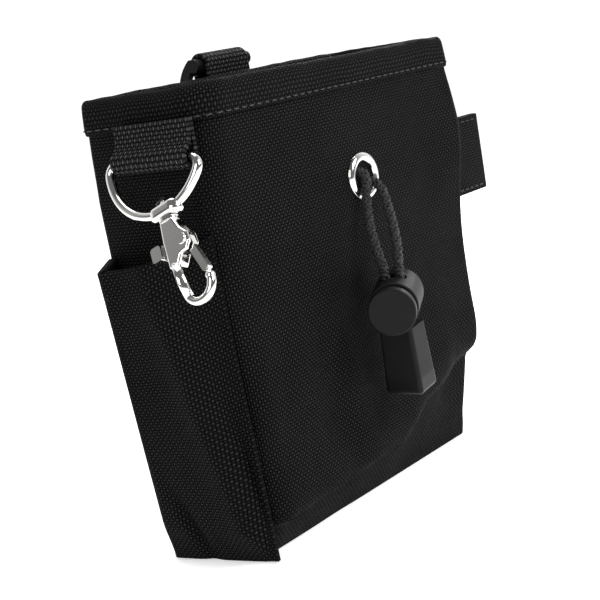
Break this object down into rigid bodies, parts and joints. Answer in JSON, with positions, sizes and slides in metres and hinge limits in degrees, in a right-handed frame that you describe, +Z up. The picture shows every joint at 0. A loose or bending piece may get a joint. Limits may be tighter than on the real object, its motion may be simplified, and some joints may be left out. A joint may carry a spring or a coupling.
{
  "type": "treat pouch",
  "caption": "Open-top sewn pouch with a drawcord and cord lock through a front eyelet, a side pocket, a swivel hook on webbing, a side loop and a belt clip on a back strap.",
  "frame": {"origin": "middle of the base, on the surface the pouch stands on", "axes": "+Z up through the open mouth, -Y towards the front panel with the eyelet, -X towards the side pocket and the swivel hook"},
  "size_m": [0.1767, 0.0842, 0.1478],
  "materials": {
    "shell_fabric": "coarse plain-weave nylon, matt with a slight sheen",
    "lining_fabric": "fine coated lining cloth",
    "webbing": "ribbed woven webbing",
    "cord": "round braided cord",
    "nickel_plate": "bright nickel plate on die-cast zinc",
    "spring_steel": "drawn spring wire",
    "moulded_plastic": "satin moulded acetal"
  },
  "bodies": {
    "pouch": {"front_panel": "shell_fabric", "back_panel": "shell_fabric", "left_side_panel": "shell_fabric", "right_side_panel": "shell_fabric", "base_panel": "shell_fabric", "liner": "lining_fabric", "rim_binding": "shell_fabric", "drawcord_channel": "lining_fabric", "cord_in_channel": "cord", "cord_left": "cord", "cord_right": "cord", "cord_end": "moulded_plastic", "cord_end_cap": "moulded_plastic", "cord_knots": "cord", "eyelet": "nickel_plate", "eyelet_washer": "nickel_plate", "side_pocket": "shell_fabric", "webbing_tab": "webbing", "side_loop": "shell_fabric", "back_strap": "webbing"},
    "ring": {"clasp_ring": "nickel_plate"},
    "hook": {"clasp_body": "nickel_plate", "clasp_pin": "nickel_plate", "clasp_spring": "spring_steel"},
    "lever": {"clasp_lever": "nickel_plate"},
    "cord_lock": {"cord_lock_body": "moulded_plastic", "cord_lock_spring": "spring_steel"},
    "lock_button": {"cord_lock_button": "moulded_plastic"},
    "clip": {"belt_clip": "moulded_plastic"}
  },
  "joints": [
    {"name": "ring_swing", "type": "hinge", "parent": "pouch", "child": "ring", "pos_m": [-0.0677, -0.0118, 0.121], "axis": [0, 1, 0], "range_deg": [0, 75]},
    {"name": "hook_swivel", "type": "hinge", "parent": "ring", "child": "hook", "pos_m": [-0.07321, -0.0185, 0.10737], "axis": [0.3422, 0.4067, 0.847], "continuous": true},
    {"name": "lever_open", "type": "hinge", "parent": "hook", "child": "lever", "pos_m": [-0.07631, -0.02668, 0.09968], "axis": [0.9272, 0, -0.3746], "range_deg": [0, 22], "stiffness_Nm_per_rad": 0.04, "springref_deg": -17.19},
    {"name": "cord_lock_slide", "type": "slide", "parent": "pouch", "child": "cord_lock", "axis": [-0.082, -0.04, 0.9958], "range_m": [0, 0.004]},
    {"name": "button_press", "type": "slide", "parent": "cord_lock", "child": "lock_button", "axis": [0.8929, 0.441, 0.091], "range_m": [0, 0.0024], "stiffness_N_per_m": 900, "springref_m": -0.002},
    {"name": "clip_swing", "type": "hinge", "parent": "pouch", "child": "clip", "pos_m": [0.0075, 0.0225, 0.1439], "axis": [1, 0, 0], "range_deg": [-4, 80]}
  ]
}
